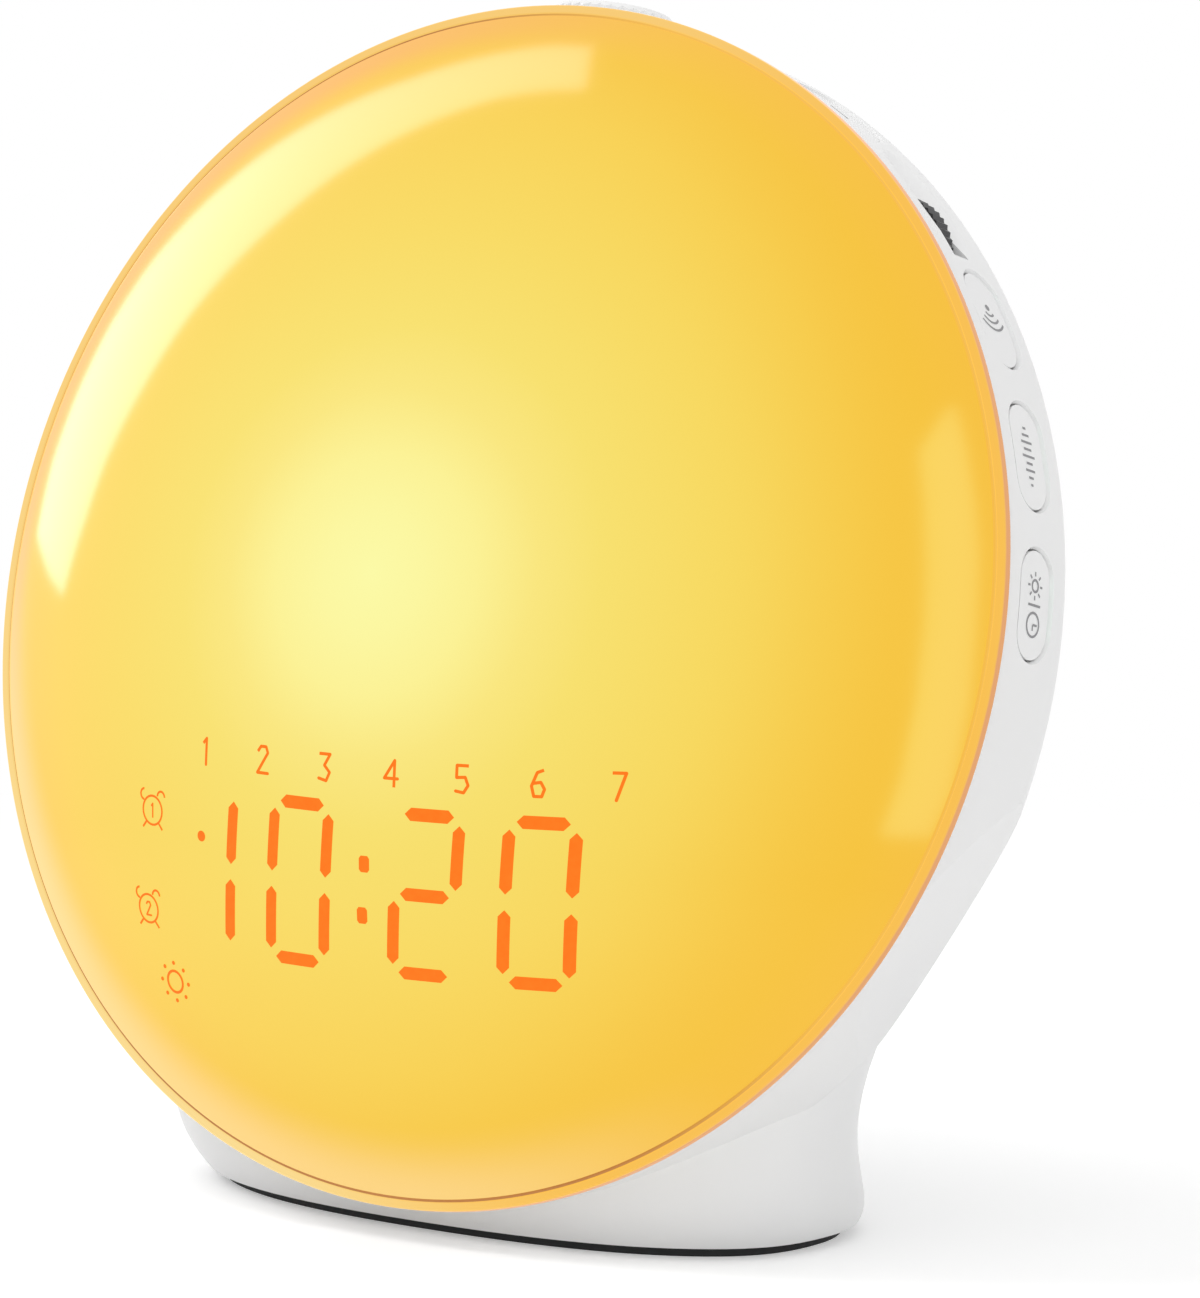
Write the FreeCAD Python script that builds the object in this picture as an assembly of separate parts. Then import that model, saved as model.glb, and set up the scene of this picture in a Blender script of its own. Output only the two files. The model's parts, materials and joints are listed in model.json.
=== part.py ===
import FreeCAD, Part

import os
from math import asin, cos, pi, radians, sin, sqrt

Vector = FreeCAD.Vector

# A table clock whose round lit dome leans back on a white housing with an oval foot.
# Origin: centre of the foot on the table. X to the right, Y to the back, Z up. Millimetres.
# Pieces of the head are drawn in the head's own frame: its origin is the centre of the dome's
# flange, X to the right, Y straight back and Z up along the leaning flange.

# Head and dome
disc_radius = 85.0
lean_angle = 14.0
rim_height = 87.5
rim_setback = -12.9
dome_height = 24.0
dome_wall = 2.0
flange_width = 1.4
flange_thickness = 1.6
flange_groove = 0.25
skirt_depth = 1.4
skirt_thickness = 1.6
skirt_gap = 0.2

# Housing
wall_radius = 84.4
wall = 2.4
back_radius = 184.8
back_depth = 40.2
shoulder = 6.2
cheek_angle = 118.0
cheek_reach = 81.5
cheek_depth = 17.8
cheek_taper = 10.1
post_radius = 3.0
post_circle = 71.0
post_angles = (24.0, 100.0, -100.0, -24.0)

# Neck and foot: height, half width, half depth and centre of each level
foot_lift = 1.6
foot_half_width = 52.1
foot_half_depth = 26.1
foot_squareness = 2.38
oval_points = 16
neck_levels = (
    (0.0, 0.0, 0.0, 0.0),
    (6.4, 2.9, -0.6, -3.3),
    (12.4, 3.4, -1.5, -5.0),
    (19.4, 4.4, -2.6, -4.9),
    (27.4, 7.5, -3.8, -4.7),
    (36.4, 12.7, -5.1, -4.3),
    (46.4, 19.7, -6.5, -3.7),
)

# Rear cover
cover_radius = 45.0
cover_lift = 14.0
cover_wall = 2.1
cover_gap = 0.3
ledge_width = 8.0
ledge_wall = 2.4
cover_screw_circle = 40.0
cover_screw_angles = (45.0, 135.0, 225.0, 315.0)
cover_screw_depth = 1.2
boss_radius = 3.6
ledge_inset = 2.2
boss_length = 9.0
grille_radius = 19.0
grille_slots = 9
grille_slot_width = 1.9

# Keys
key_length = 14.6
key_width = 7.6
key_centre = 10.0
key_set = 0.3
key_gap = 0.25
key_bevel = 0.55
key_lip = 0.5
key_lip_thickness = 1.0
key_travel = 0.5
key_play = 0.15
stem_radius = 1.4
stem_length = 1.3
right_key_angles = (16.9, 30.7, 58.3, 72.1, 85.9)
left_key_angles = (-30.7, -44.4, -58.3, -72.1)

# Side switches on the main board
switch_width = 6.0
switch_depth = 5.5
switch_height = 4.6
switch_nose_radius = 1.2
switch_nose_length = 0.9

# Thumbwheel and its scoop
wheel_angle = 46.9
wheel_radius = 9.0
wheel_width = 3.0
wheel_front = 7.3
wheel_proud = 0.2
wheel_teeth = 48
wheel_tooth_depth = 0.3
wheel_gap = 0.4
wheel_shaft_radius = 1.5
wheel_fit = 0.05
scoop_angle = 44.4
scoop_depth = 1.4
scoop_across = 6.0
scoop_along = 78.0

# Top knob
knob_radius = 9.2
knob_centre = 14.2
knob_top = 87.2
knob_bottom = 82.9
knob_ribs = 34
knob_rib_depth = 0.45
knob_edge = 0.9
knob_travel = 0.5
knob_gap = 0.35
knob_seat_wall = 1.4
knob_seat_floor = 2.7
knob_shaft_radius = 3.0
knob_fit = 0.05
encoder_size = 11.0
encoder_height = 6.5
encoder_bush_radius = 4.5
encoder_bush_length = 3.5
encoder_drop = 1.0
encoder_floor = 1.0

# Light parts
reflector_radius = 79.6
reflector_floor_radius = 70.0
reflector_floor = 3.4
reflector_wall = 1.2
light_board_radius = 70.0
board_wall = 1.6
lamp_size = 3.0
lamp_height = 1.0
lamp_window = 2.6
inner_lamp_circle = 12.0
inner_lamp_count = 6
outer_lamp_circle = 42.0
outer_lamp_angles = (-100.0, -75.0, -50.0, -25.0, 0.0, 25.0, 50.0, 75.0, 100.0)

# Display
display_left = -50.0
display_right = 46.0
display_low = -58.0
display_high = -14.0
display_front = 0.8
display_reach = 73.0
mask_gap = 0.4
digit_centres = (-26.0, -8.65, 12.7, 30.05)
digit_height = 23.0
digit_width = 9.7
digit_line = -36.4
digit_slant = 0.07
segment_width = 1.9
segment_gap = 0.35
colon_radius = 0.9
colon_spread = 3.7

# Main board
main_board_radius = 76.0
main_board_front = 12.6
spacer_radius = 3.0
spacer_places = ((43.0, 25.0), (-43.0, 25.0), (16.6, -62.5), (-16.6, -62.5))
screw_radius = 1.3
screw_head_radius = 2.6
screw_head_height = 1.3
screw_fit = 0.05
cell_radius = 10.0
cell_height = 3.2
cell_place = (29.0, 13.0)
chip_sizes = ((10.0, 10.0, 1.4, -34.0, 14.0), (8.0, 6.0, 1.6, -20.0, -22.0), (6.0, 5.0, 1.6, 8.0, -40.0))

# Speaker
speaker_radius = 22.0
speaker_depth = 12.0
speaker_rim = 1.6
magnet_radius = 12.0
magnet_height = 6.0
cone_wall = 0.6

# Foot
pad_inset = 2.4
pad_height = 1.8
plate_wall = 2.4
plate_gap = 1.7
base_boss_radius = 6.5
base_boss_place = 45.5
base_boss_length = 9.0
ballast_length = 64.0
ballast_width = 26.0
ballast_height = 3.5

# Power socket
socket_height = 13.0
socket_width = 9.0
socket_tall = 11.0
socket_length = 12.0
socket_nose_radius = 4.0
socket_bore_radius = 2.8
socket_bore_depth = 9.0
socket_pin_radius = 1.0
socket_gap = 0.15
socket_setback = 1.5

front = flange_thickness
dome_base_radius = disc_radius - flange_width
dome_curvature = (dome_base_radius ** 2 + dome_height ** 2) / (2 * dome_height)
dome_centre = dome_curvature - dome_height
back_centre = back_depth - back_radius
inner_radius = wall_radius - wall
wheel_centre = wall_radius + wheel_proud - wheel_radius
switch_top = inner_radius - key_play - key_lip_thickness - stem_length - key_travel - 0.05
board_back = main_board_front + board_wall
knob_floor = knob_bottom - knob_travel - 0.2
encoder_top = knob_floor - knob_seat_floor - encoder_drop
encoder_base = encoder_top - encoder_height


# Frames and small shapes

def in_head(shape):
    """Place a shape drawn in the head's frame."""
    placed = shape.copy()
    placed.rotate(Vector(0, 0, 0), Vector(1, 0, 0), -lean_angle)
    placed.translate(Vector(0, rim_setback, rim_height))
    return placed


def around(shape, angle):
    """Turn a shape from the top of the head round to an angle, clockwise from the front."""
    turned_shape = shape.copy()
    turned_shape.rotate(Vector(0, 0, 0), Vector(0, 1, 0), angle)
    return turned_shape


def drum(radius, start, end, x=0.0, z=0.0):
    """Cylinder along the head's depth."""
    return Part.makeCylinder(radius, end - start, Vector(x, start, z), Vector(0, 1, 0))


def stud(radius, low, high, depth):
    """Cylinder that stands out of the top of the head."""
    return Part.makeCylinder(radius, high - low, Vector(0, depth, low))


def block(left, right, start, end, low, high):
    return Part.makeBox(right - left, end - start, high - low, Vector(left, start, low))


def tube(outer, inner, start, end, x=0.0, z=0.0):
    return drum(outer, start, end, x, z).cut(drum(inner, start - 1, end + 1, x, z))


def joined(shapes):
    """Fuse touching shapes into one."""
    whole = shapes[0]
    for shape in shapes[1:]:
        whole = whole.fuse(shape)
    return whole.removeSplitter()


def turned(edges):
    """Revolve an outline of X and Y round the head's axis."""
    face = Part.Face(Part.Wire(edges))
    return face.revolve(Vector(0, 0, 0), Vector(0, 1, 0), 360)


def line(start, end):
    return Part.LineSegment(Vector(*start, 0), Vector(*end, 0)).toShape()


def arc_about(centre, radius, start_angle, end_angle):
    """Arc round a centre on the axis; angles are measured from the axis."""
    points = []
    for angle in (start_angle, (start_angle + end_angle) / 2, end_angle):
        points.append(Vector(radius * sin(angle), centre + radius * cos(angle), 0))
    return Part.Arc(*points).toShape()


def chain(points):
    """Straight edges from point to point."""
    edges = []
    for start, end in zip(points, points[1:]):
        edges.append(line(start, end))
    return edges


def closed_curve(points):
    """Smooth closed wire through points."""
    curve = Part.BSplineCurve()
    curve.interpolate(Points=points, PeriodicFlag=True)
    return Part.Wire([curve.toShape()])


def pill_wire(length, width, level, depth):
    half = (length - width) / 2
    radius = width / 2
    corners = (
        Vector(-half, depth - radius, level),
        Vector(half, depth - radius, level),
        Vector(half, depth + radius, level),
        Vector(-half, depth + radius, level),
    )
    return Part.Wire([
        Part.LineSegment(corners[0], corners[1]).toShape(),
        Part.Arc(corners[1], Vector(half + radius, depth, level), corners[2]).toShape(),
        Part.LineSegment(corners[2], corners[3]).toShape(),
        Part.Arc(corners[3], Vector(-half - radius, depth, level), corners[0]).toShape(),
    ])


def pill(length, width, low, high, depth):
    face = Part.Face(pill_wire(length, width, low, depth))
    return face.extrude(Vector(0, 0, high - low))


def toothed_face(radius, tooth_depth, count):
    """Flat face with a ridged edge, in the X and Y plane."""
    points = []
    for index in range(2 * count):
        reach = radius - tooth_depth * (index % 2)
        angle = pi * index / count
        points.append(Vector(reach * cos(angle), reach * sin(angle), 0))
    return Part.Face(Part.makePolygon(points + [points[0]]))


def screw(head_at, length, x, z, direction=1):
    """Screw along the head's depth; the head's underside is at head_at."""
    axis = Vector(0, direction, 0)
    shank = Part.makeCylinder(screw_radius, length, Vector(x, head_at, z), axis)
    head = Part.makeCylinder(screw_head_radius, screw_head_height, Vector(x, head_at, z), axis * -1)
    return shank.fuse(head).removeSplitter()


def polar(radius, angle):
    """X and Z of a place on the head, angle clockwise from the top."""
    return radius * sin(radians(angle)), radius * cos(radians(angle))


def back_surface(radius, inset):
    """Depth of the domed back at a radius, under an inset skin."""
    return back_centre + sqrt((back_radius - inset) ** 2 - radius ** 2)


# Dome

def make_front_diffuser():
    inner = dome_curvature - dome_wall
    skirt_outer = inner_radius - skirt_gap
    skirt_inner = skirt_outer - skirt_thickness
    rim_angle = asin(dome_base_radius / dome_curvature)
    inner_angle = asin(skirt_inner / inner)
    inner_edge = dome_centre - inner * cos(inner_angle)
    groove_outer = dome_base_radius + flange_groove
    outline = [arc_about(dome_centre, dome_curvature, pi, pi - rim_angle)]
    outline += chain((
        (dome_base_radius, 0),
        (dome_base_radius, flange_groove),
        (groove_outer, flange_groove),
        (groove_outer, 0),
        (disc_radius, 0),
        (disc_radius, flange_thickness),
        (skirt_outer, flange_thickness),
        (skirt_outer, flange_thickness + skirt_depth),
        (skirt_inner, flange_thickness + skirt_depth),
        (skirt_inner, inner_edge),
    ))
    outline.append(arc_about(dome_centre, inner, pi - inner_angle, pi))
    outline.append(line((0, dome_centre - inner), (0, -dome_height)))
    return turned(outline)


# Housing

def cheek(inset, side):
    """Cutter that flattens the wall where it runs down into the neck."""
    cutter = Part.makeBox(2 * wall_radius, 2 * wall_radius, wall_radius,
                          Vector(-wall_radius, -wall_radius, -inset))
    cutter.rotate(Vector(0, 0, 0), Vector(1, 0, 0), -cheek_taper)
    cutter.translate(Vector(0, cheek_depth, cheek_reach))
    return around(cutter, side * cheek_angle)


def bowl(inset, start):
    """Side wall, shoulder and back of the head as one solid, inset by a skin."""
    reach = wall_radius - shoulder
    tilt = asin(reach / (back_radius - shoulder))
    depth = back_centre + (back_radius - shoulder) * cos(tilt)
    edge = shoulder - inset
    skin = back_radius - inset
    middle = (tilt + pi / 2) / 2
    end = (reach + edge * sin(tilt), depth + edge * cos(tilt))
    rim = Part.Arc(
        Vector(wall_radius - inset, depth, 0),
        Vector(reach + edge * sin(middle), depth + edge * cos(middle), 0),
        Vector(*end, 0),
    )
    outline = [line((0, start), (wall_radius - inset, start))]
    outline.append(line((wall_radius - inset, start), (wall_radius - inset, depth)))
    outline.append(rim.toShape())
    outline.append(arc_about(back_centre, skin, tilt, 0))
    outline.append(line((0, back_centre + skin), (0, start)))
    return turned(outline).cut([cheek(inset, 1), cheek(inset, -1)])


def oval(half_width, half_depth, centre, level):
    """Rounded-off oval outline of the neck or foot."""
    points = []
    for index in range(oval_points):
        angle = 2 * pi * index / oval_points
        across = abs(cos(angle)) ** (2 / foot_squareness) * (1 if cos(angle) >= 0 else -1)
        along = abs(sin(angle)) ** (2 / foot_squareness) * (1 if sin(angle) >= 0 else -1)
        points.append(Vector(half_width * across, centre + half_depth * along, level))
    return closed_curve(points)


def neck(inset, below):
    """Foot and neck as one solid, inset by a skin and carried down below the foot."""
    wires = []
    if below:
        wires.append(oval(foot_half_width - inset, foot_half_depth - inset, 0, foot_lift - below))
    roof = neck_levels[-1][0] - inset
    for height, wider, deeper, centre in neck_levels:
        half_width = foot_half_width + wider - inset
        half_depth = foot_half_depth + deeper - inset
        wires.append(oval(half_width, half_depth, centre, foot_lift + min(height, roof)))
    return Part.makeLoft(wires, True, False)


def key_opening():
    """Pill-shaped opening with a bevelled mouth."""
    length = key_length + 2 * key_gap
    width = key_width + 2 * key_gap
    shaft = pill(length, width, inner_radius - 3, wall_radius + 2, key_centre)
    mouth = Part.makeLoft([
        pill_wire(length, width, wall_radius - key_bevel - 0.35, key_centre),
        pill_wire(length + 3 * key_bevel, width + 3 * key_bevel, wall_radius + key_bevel, key_centre),
    ], True, True)
    return shaft.fuse(mouth)


def scoop():
    """Finger scoop across the thumbwheel: a round groove along an arc outside the wall."""
    reach = wall_radius - scoop_depth + scoop_along
    ring = scoop_along - scoop_across
    cutter = Part.makeTorus(ring, scoop_across, Vector(0, key_centre, reach), Vector(0, 1, 0))
    return around(cutter, scoop_angle)


def wheel_slot():
    level = inner_radius - wheel_gap - wheel_centre
    half = sqrt(wheel_radius ** 2 - level ** 2) + wheel_gap
    slot = block(-half, half, wheel_front - wheel_gap, wheel_front + wheel_width + wheel_gap,
                 wheel_centre, wall_radius + 4)
    return around(slot, wheel_angle)


def knob_seat():
    """Round seat that carries the knob over the shoulder."""
    radius = knob_radius + knob_gap + knob_seat_wall
    return stud(radius, knob_floor - knob_seat_floor, wall_radius - 0.4, knob_centre)


def knob_pocket():
    well = stud(knob_radius + knob_gap, knob_floor, knob_top + 2, knob_centre)
    hole = stud(encoder_bush_radius + 0.1, 0.7 * wall_radius, knob_floor + 1, knob_centre)
    return well.fuse(hole)


def back_skin(outer_inset, inner_inset):
    """Curved skin under the domed back, between two insets."""
    centre = Vector(0, back_centre, 0)
    outer = Part.makeSphere(back_radius - outer_inset, centre)
    return outer.cut(Part.makeSphere(back_radius - inner_inset, centre))


def cover_ledge():
    """Ring under the rear cover's edge."""
    opening = cover_radius + cover_gap
    ring = tube(opening + 2.0, opening - ledge_width, board_back, back_depth, 0, cover_lift)
    return back_skin(ledge_inset, ledge_inset + ledge_wall).common(ring)


def cover_screw_places():
    """X, Z and depth of the back's surface at each screw of the rear cover."""
    places = []
    for angle in cover_screw_angles:
        x, z = polar(cover_screw_circle, angle)
        z += cover_lift
        places.append((x, z, sqrt(x ** 2 + z ** 2)))
    return places


def make_housing():
    front_cut = in_head(block(-200, 200, -100, front, -200, 200))
    head_space = in_head(bowl(wall, front - 1))
    neck_space = neck(wall, 2)
    head_shell = in_head(bowl(0, front)).cut(head_space).cut(neck_space)
    neck_shell = neck(0, 0).cut(front_cut).cut(head_space).cut(neck_space)
    shell = head_shell.fuse(neck_shell)
    rear_hole = drum(cover_radius + cover_gap, board_back, back_depth + 5, 0, cover_lift)
    posts = []
    for angle in post_angles:
        x, z = polar(post_circle, angle)
        posts.append(drum(post_radius, board_back, back_surface(post_circle, wall) + 1, x, z))
    bosses = []
    for x, z, radius in cover_screw_places():
        top = back_surface(radius, ledge_inset + ledge_wall)
        bosses.append(drum(boss_radius, top - boss_length, top + 1, x, z))
    base_bosses = []
    for side in (-1, 1):
        place = Vector(side * base_boss_place, rim_setback / 4, foot_lift + plate_wall)
        base_bosses.append(Part.makeCylinder(base_boss_radius, base_boss_length, place))
    shell = shell.cut(in_head(rear_hole))
    added = [in_head(cover_ledge())]
    added += [in_head(shape) for shape in posts + bosses]
    added.append(in_head(knob_seat()))
    added += base_bosses
    for shape in added:
        shell = shell.fuse(shape)
    cuts = [in_head(knob_pocket()), in_head(scoop()), in_head(wheel_slot())]
    for angle in right_key_angles + left_key_angles:
        cuts.append(in_head(around(key_opening(), angle)))
    for angle in post_angles:
        x, z = polar(post_circle, angle)
        cuts.append(in_head(drum(screw_radius + screw_fit, board_back - 1, board_back + 5, x, z)))
    for x, z, radius in cover_screw_places():
        top = back_surface(radius, 0)
        cuts.append(in_head(drum(screw_radius + screw_fit, top - boss_length, top + 1, x, z)))
    for side in (-1, 1):
        place = Vector(side * base_boss_place, rim_setback / 4, 0)
        cuts.append(Part.makeCylinder(screw_radius + screw_fit, foot_lift + plate_wall + 7, place))
    cuts.append(socket_nose(socket_gap))
    for shape in cuts:
        shell = shell.cut(shape)
    return shell


# Rear cover

def make_rear_cover():
    cover = back_skin(0, cover_wall).common(drum(cover_radius, board_back, back_depth + 5, 0, cover_lift))
    cuts = []
    for index in range(grille_slots):
        level = (index - (grille_slots - 1) / 2) * 2 * grille_slot_width
        half = sqrt(grille_radius ** 2 - level ** 2)
        slot = pill(2 * half, grille_slot_width, 0, back_depth, 0)
        slot.rotate(Vector(0, 0, 0), Vector(1, 0, 0), -90)
        slot.translate(Vector(0, 5, level))
        cuts.append(slot)
    for x, z, radius in cover_screw_places():
        seat = back_surface(radius, cover_screw_depth)
        cuts.append(drum(screw_head_radius + 0.3, seat, back_depth, x, z))
        cuts.append(drum(screw_radius + 0.2, 0, back_depth, x, z))
    return cover.cut(cuts)


def make_rear_cover_screws():
    screws = []
    for x, z, radius in cover_screw_places():
        seat = back_surface(radius, cover_screw_depth)
        screws.append(screw(seat, boss_length - 2, x, z, -1))
    return Part.makeCompound(screws)


# Keys

def make_key():
    """Pill-shaped key with a lip inside the wall and a stem for its switch."""
    lip_top = inner_radius - key_play
    lip_low = lip_top - key_lip_thickness
    cap = pill(key_length, key_width, lip_low, wall_radius + 2, key_centre)
    cap = cap.common(drum(wall_radius - key_set, 0, 2 * key_centre))
    lip = pill(key_length + 2 * key_lip, key_width + 2 * key_lip, lip_low - 0.3, wall_radius, key_centre)
    lip = lip.common(drum(lip_top, 0, 2 * key_centre))
    stem = stud(stem_radius, lip_low - stem_length, lip_low, key_centre)
    return joined([cap, lip, stem])


def make_switches():
    """Side-facing switches on the board's front, one behind each key."""
    switches = []
    for angle in right_key_angles + left_key_angles:
        low = switch_top - switch_nose_length - switch_height
        case = block(-switch_width / 2, switch_width / 2, main_board_front - switch_depth,
                     main_board_front, low, low + switch_height)
        nose = stud(switch_nose_radius, low, switch_top, key_centre)
        switches.append(around(case.fuse(nose).removeSplitter(), angle))
    return Part.makeCompound(switches)


# Thumbwheel

def make_volume_wheel():
    wheel = toothed_face(wheel_radius, wheel_tooth_depth, wheel_teeth)
    wheel = wheel.extrude(Vector(0, 0, wheel_width))
    wheel.rotate(Vector(0, 0, 0), Vector(1, 0, 0), -90)
    wheel.translate(Vector(0, wheel_front, wheel_centre))
    wheel = wheel.cut(drum(wheel_shaft_radius, 0, 40, 0, wheel_centre))
    groove = tube(wheel_radius - 2.2, wheel_shaft_radius + 1.6, wheel_front - 1, wheel_front + 0.6,
                  0, wheel_centre)
    return around(wheel.cut(groove), wheel_angle)


def make_wheel_shaft():
    shaft = drum(wheel_shaft_radius, wheel_front - 0.3, main_board_front - 0.3, 0, wheel_centre)
    return around(shaft, wheel_angle)


def make_wheel_encoder():
    start = wheel_front + wheel_width + 0.4
    case = block(-5, 5, start, main_board_front, wheel_centre - 6, wheel_centre + 1.2)
    bore = drum(wheel_shaft_radius + wheel_fit, start - 1, main_board_front - 0.2, 0, wheel_centre)
    return around(case.cut(bore), wheel_angle)


# Top knob

def make_top_knob():
    height = knob_top - knob_bottom
    ribbed = toothed_face(knob_radius, knob_rib_depth, knob_ribs).extrude(Vector(0, 0, height))
    slope_radius = knob_radius - knob_edge
    collar = Part.makeCylinder(knob_radius + 2, 2 * knob_edge, Vector(0, 0, height - knob_edge))
    cone = Part.makeCone(knob_radius + knob_edge, slope_radius - knob_edge, 3 * knob_edge,
                         Vector(0, 0, height - 2 * knob_edge))
    knob = ribbed.cut(collar.cut(cone))
    knob.translate(Vector(0, knob_centre, knob_bottom))
    bore = stud(knob_shaft_radius + knob_fit, knob_bottom - 1, knob_top - 1.2, knob_centre)
    return knob.cut(bore)


def make_knob_shaft():
    low = encoder_base + encoder_floor + knob_travel + 0.1
    return stud(knob_shaft_radius, low, knob_top - 1.3, knob_centre)


def make_knob_encoder():
    half = encoder_size / 2
    case = block(-half, half, knob_centre - half, knob_centre + half, encoder_base, encoder_top)
    bush = stud(encoder_bush_radius, encoder_top - 1, encoder_top + encoder_bush_length, knob_centre)
    bore = stud(knob_shaft_radius + knob_fit, encoder_base + encoder_floor, knob_top, knob_centre)
    return joined([case, bush]).cut(bore)


# Light parts

def make_reflector():
    """White dish under the dome with windows for the lamps."""
    low = front - 0.6
    back = reflector_floor + reflector_wall
    outline = chain((
        (0, reflector_floor),
        (reflector_floor_radius, reflector_floor),
        (reflector_radius - 2, low),
        (reflector_radius, low),
        (reflector_radius, low + reflector_wall),
        (reflector_floor_radius + 1, back),
        (0, back),
        (0, reflector_floor),
    ))
    dish = turned(outline)
    posts = []
    for x in (display_left + 8, display_right - 8):
        for z in (display_low + 6, display_high - 6):
            posts.append(drum(2.2, display_front + board_wall, reflector_floor + 0.5, x, z))
    for x, z in spacer_places:
        posts.append(drum(spacer_radius, back - 0.5, back + 0.6, x, z))
    dish = joined([dish] + posts)
    cuts = [drum(lamp_window, 0, 10, x, z) for x, z in lamp_places()]
    cuts += [drum(screw_radius + screw_fit, 0, 10, x, z) for x, z in spacer_places]
    cuts.append(block(-7, 7, 0, 10, display_low - 2.5, display_low - 0.5))
    return dish.cut(cuts)


def lamp_places():
    places = []
    for index in range(inner_lamp_count):
        places.append(polar(inner_lamp_circle, 360 * index / inner_lamp_count))
    places = [(x, z + 14) for x, z in places]
    places += [polar(outer_lamp_circle, angle * 0.8) for angle in outer_lamp_angles]
    return places


def make_light_board():
    start = reflector_floor + reflector_wall + 0.6
    board = drum(light_board_radius, start, start + board_wall)
    cuts = [drum(screw_radius + screw_fit, 0, 20, x, z) for x, z in spacer_places]
    cuts.append(block(-8, 8, 0, 20, display_low - 3.5, display_low + 0.5))
    return board.cut(cuts)


def make_lamps():
    start = reflector_floor + reflector_wall + 0.6
    half = lamp_size / 2
    lamps = []
    for x, z in lamp_places():
        lamps.append(block(x - half, x + half, start - lamp_height, start, z - half, z + half))
    return Part.makeCompound(lamps)


# Display

def segment(x, z, length, upright):
    """One bar of a digit: a long six-sided face, pointed at both ends."""
    half = length / 2
    wide = segment_width / 2
    shape = ((-half, 0), (wide - half, wide), (half - wide, wide), (half, 0), (half - wide, -wide),
             (wide - half, -wide), (-half, 0))
    points = []
    for along, across in shape:
        u, v = (across, along) if upright else (along, across)
        v += z
        u += x + digit_slant * (v - digit_line)
        points.append(Vector(u, 0, v))
    return Part.Face(Part.makePolygon(points))


def digit_cells(centre, lit="abcdefg"):
    """The seven bars of a digit as cutters that run forward to the dome."""
    half_width = digit_width / 2
    half = digit_height / 2
    bar = digit_width - 2 * segment_gap
    post = half - 2 * segment_gap
    places = {
        "a": (0, half, bar, False),
        "b": (half_width, half / 2, post, True),
        "c": (half_width, -half / 2, post, True),
        "d": (0, -half, bar, False),
        "e": (-half_width, -half / 2, post, True),
        "f": (-half_width, half / 2, post, True),
        "g": (0, 0, bar, False),
    }
    cells = []
    for name in lit:
        x, z, length, upright = places[name]
        face = segment(centre + x, digit_line + z, length, upright)
        cells.append(face.extrude(Vector(0, -dome_height, 0)))
    return cells


def make_display_mask():
    """Block that walls off each bar of the digits right up to the dome."""
    body = block(display_left, display_right, -dome_height, display_front, display_low, display_high)
    skin = Part.makeSphere(dome_curvature - dome_wall - mask_gap, Vector(0, dome_centre, 0))
    body = body.common(skin)
    cells = []
    for centre in digit_centres:
        cells += digit_cells(centre)
    middle = (digit_centres[1] + digit_centres[2]) / 2
    for side in (-1, 1):
        dot = drum(colon_radius, -dome_height, display_front + 1, middle, digit_line + side * colon_spread)
        cells.append(dot)
    cells = [cell.copy() for cell in cells]
    for cell in cells:
        cell.translate(Vector(0, display_front + 1, 0))
    return body.cut(cells)


def make_display_board():
    back = display_front + board_wall
    board = block(display_left, display_right, display_front, back, display_low, display_high)
    corner = drum(display_reach, 0, 10)
    return board.common(corner)


def make_display_lamps():
    """Small lamps in the cells of the digits."""
    lamps = []
    for centre in digit_centres:
        for side_z in (-digit_height / 4, digit_height / 4):
            for side_x in (-digit_width / 2, digit_width / 2):
                x = centre + side_x + digit_slant * side_z
                z = digit_line + side_z
                lamps.append(block(x - 0.5, x + 0.5, display_front - 0.6, display_front, z - 0.8, z + 0.8))
    return Part.makeCompound(lamps)


def make_display_ribbon():
    start = display_front + board_wall
    return block(-6, 6, start - board_wall / 2, main_board_front, display_low - 1.6, display_low - 1.2).fuse(
        block(-6, 6, start - board_wall / 2, start - 0.4, display_low - 1.6, display_low))


# Main board

def make_main_board():
    board = drum(main_board_radius, main_board_front, board_back)
    half = encoder_size / 2 + 0.5
    cuts = [block(-half, half, 0, 30, encoder_base, main_board_radius + 5)]
    for angle in post_angles:
        x, z = polar(post_circle, angle)
        cuts.append(drum(screw_radius + 0.2, 0, 30, x, z))
    for x, z in spacer_places:
        cuts.append(drum(screw_radius + screw_fit, 0, 30, x, z))
    return board.cut(cuts)


def make_board_spacers():
    start = reflector_floor + reflector_wall + 0.6 + board_wall
    spacers = []
    for x, z in spacer_places:
        spacers.append(tube(spacer_radius, screw_radius + screw_fit, start, main_board_front, x, z))
    return Part.makeCompound(spacers)


def make_board_screws():
    screws = []
    for angle in post_angles:
        x, z = polar(post_circle, angle)
        screws.append(screw(main_board_front, board_wall + 4.5, x, z))
    for x, z in spacer_places:
        screws.append(screw(reflector_floor, board_back + 1 - reflector_floor, x, z))
    return Part.makeCompound(screws)


def make_main_chips():
    chips = []
    for width, tall, thick, x, z in chip_sizes:
        chips.append(block(x - width / 2, x + width / 2, board_back, board_back + thick,
                           z - tall / 2, z + tall / 2))
    return Part.makeCompound(chips)


def make_cell_holder():
    x, z = cell_place
    holder = drum(cell_radius + 1.4, board_back, board_back + cell_height + 0.6, x, z)
    well = drum(cell_radius + 0.1, board_back + 0.8, board_back + 20, x, z)
    return holder.cut(well)


def make_coin_cell():
    x, z = cell_place
    start = board_back + 0.8
    return drum(cell_radius, start, start + cell_height, x, z)


# Speaker

def speaker_face():
    """Depth of the speaker's rim, where it meets the cover."""
    return back_surface(speaker_radius, cover_wall)


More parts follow.
